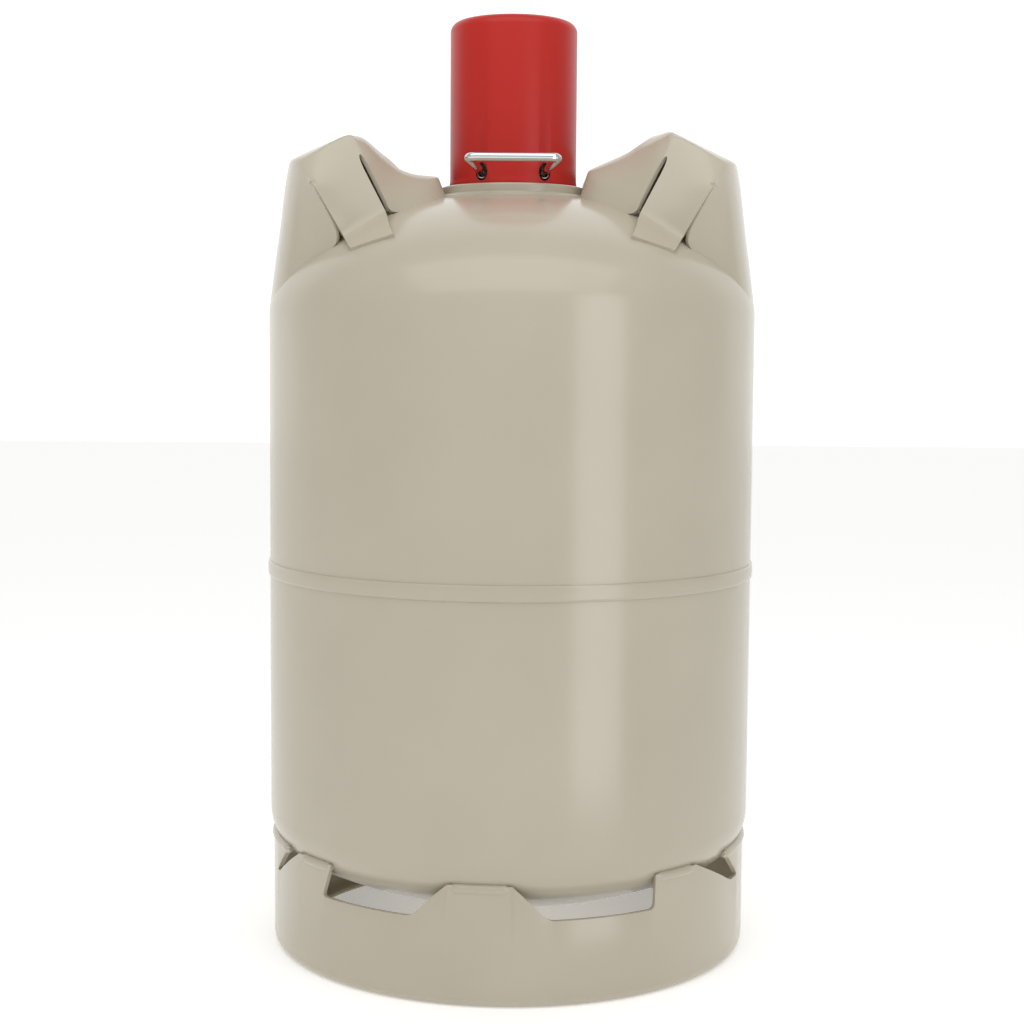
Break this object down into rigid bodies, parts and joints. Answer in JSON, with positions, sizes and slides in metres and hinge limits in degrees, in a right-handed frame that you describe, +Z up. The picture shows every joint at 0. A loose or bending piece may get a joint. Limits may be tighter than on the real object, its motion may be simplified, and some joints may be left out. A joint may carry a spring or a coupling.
{
  "type": "propane tank",
  "caption": "Grey steel propane cylinder on a vented foot ring, with pressed shoulder grips, a screw-on red valve cap with a wire bail, and a valve under it.",
  "frame": {"origin": "centre of the foot ring's ground plane", "axes": "+Z up along the cylinder's axis; -Y is the front, where the bail and the valve outlet point; +X is the right grip"},
  "size_m": [0.3024, 0.3024, 0.5688],
  "materials": {
    "body_paint": "gloss enamel, pebble grey",
    "red_paint": "satin red enamel",
    "wire": "bright chrome",
    "brass": "machined brass",
    "zinc": "zinc plated steel",
    "rubber": "moulded rubber",
    "wheel": "moulded plastic"
  },
  "bodies": {
    "tank": {"lower_shell": "body_paint", "upper_shell": "body_paint", "girth_weld": "body_paint", "foot_ring": "body_paint", "right_grip": "body_paint", "left_grip": "body_paint", "neck_ring": "body_paint", "valve_boss": "zinc", "boss_weld": "zinc", "valve_body": "brass", "bonnet_nut": "brass", "spindle_ring": "rubber", "relief_cap": "brass", "outlet_seal": "rubber"},
    "cap": {"red_cap": "red_paint", "cap_thread_ring": "zinc"},
    "bail": {"wire_bail": "wire"},
    "wheel": {"handwheel": "wheel", "wheel_screw": "zinc", "upper_spindle": "brass"},
    "disc": {"lower_spindle": "brass", "seat_disc": "rubber"},
    "plug": {"outlet_plug": "brass"},
    "relief": {"relief_poppet": "brass", "relief_seal": "rubber", "relief_spring": "zinc"}
  },
  "joints": [
    {"name": "cap_lift", "type": "slide", "parent": "tank", "child": "cap", "axis": [0, 0, 1], "range_m": [0, 0.13]},
    {"name": "bail_swing", "type": "hinge", "parent": "cap", "child": "bail", "pos_m": [0, -0.03308, 0.4755], "axis": [1, 0, 0], "range_deg": [-15, 32]},
    {"name": "wheel_turn", "type": "hinge", "parent": "tank", "child": "wheel", "pos_m": [0, 0, 0.535], "axis": [0, 0, 1], "range_deg": [0, 1080]},
    {"name": "disc_rise", "type": "slide", "parent": "tank", "child": "disc", "axis": [0, 0, 1], "range_m": [0, 0.0045]},
    {"name": "plug_turn", "type": "hinge", "parent": "tank", "child": "plug", "pos_m": [0, -0.025, 0.503], "axis": [0, -1, 0], "range_deg": [0, 1440]},
    {"name": "relief_lift", "type": "slide", "parent": "tank", "child": "relief", "axis": [0, 1, 0], "range_m": [0, 0.0015], "stiffness_N_per_m": 8000}
  ],
  "couplings": [
    {"joint": "disc_rise", "follows": "wheel_turn", "m_per_rad": 0.00023873}
  ]
}
